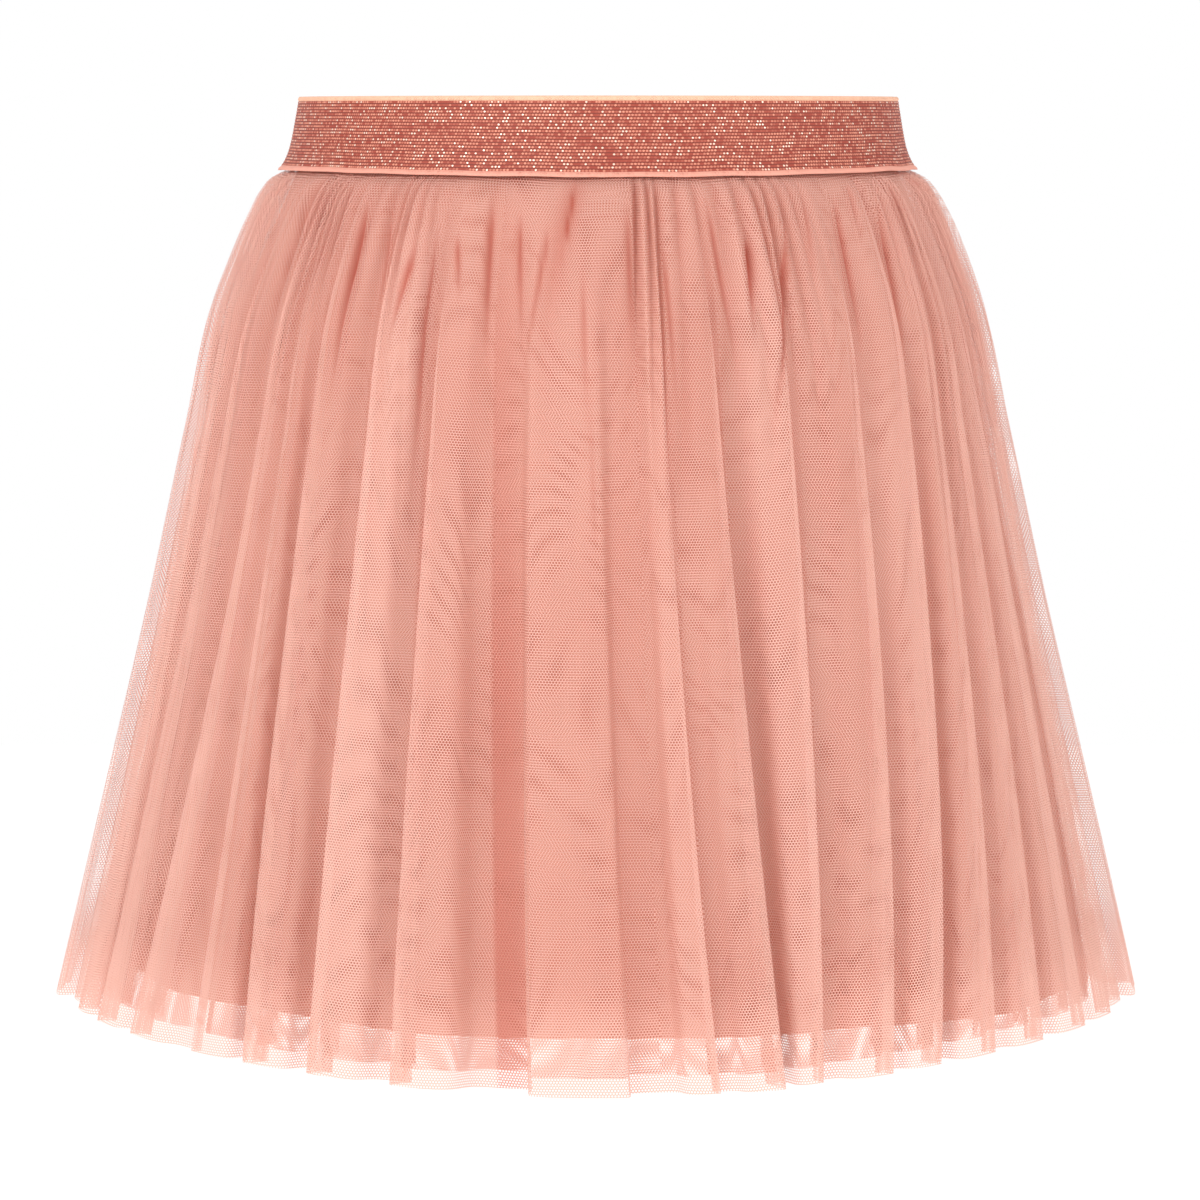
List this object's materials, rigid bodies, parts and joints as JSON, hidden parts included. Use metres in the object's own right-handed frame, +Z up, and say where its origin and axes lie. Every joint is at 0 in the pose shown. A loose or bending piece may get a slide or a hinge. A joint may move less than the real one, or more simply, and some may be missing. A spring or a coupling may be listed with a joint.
{
  "type": "tulle skirt",
  "caption": "Child's short gathered tulle skirt, soft layered net over a plain A-line lining, on a glitter elastic waistband, hollow and filled out as when worn",
  "frame": {"origin": "centre of the waist opening, at half the height of the waistband at centre front", "axes": "+Z up out of the waist, the front of the skirt faces -Y, +X is the right-hand side seen from the front, across the widest side-to-side size"},
  "size_m": [0.3568, 0.2853, 0.3109],
  "materials": {
    "glitter_elastic": "woven elastic with copper metallic yarn, ribbed crosswise, peach selvedges",
    "outer_tulle": "soft hexagonal nylon net, matt with a faint sheen on the folds",
    "under_tulle": "soft hexagonal nylon net, matt",
    "lining": "plain matt coral lining cloth"
  },
  "bodies": {
    "root": {"waistband": "glitter_elastic", "tulle_outer_front": "outer_tulle", "tulle_outer_back": "outer_tulle", "tulle_under_front": "under_tulle", "tulle_under_back": "under_tulle", "lining_front": "lining", "lining_back": "lining"}
  },
  "joints": []
}
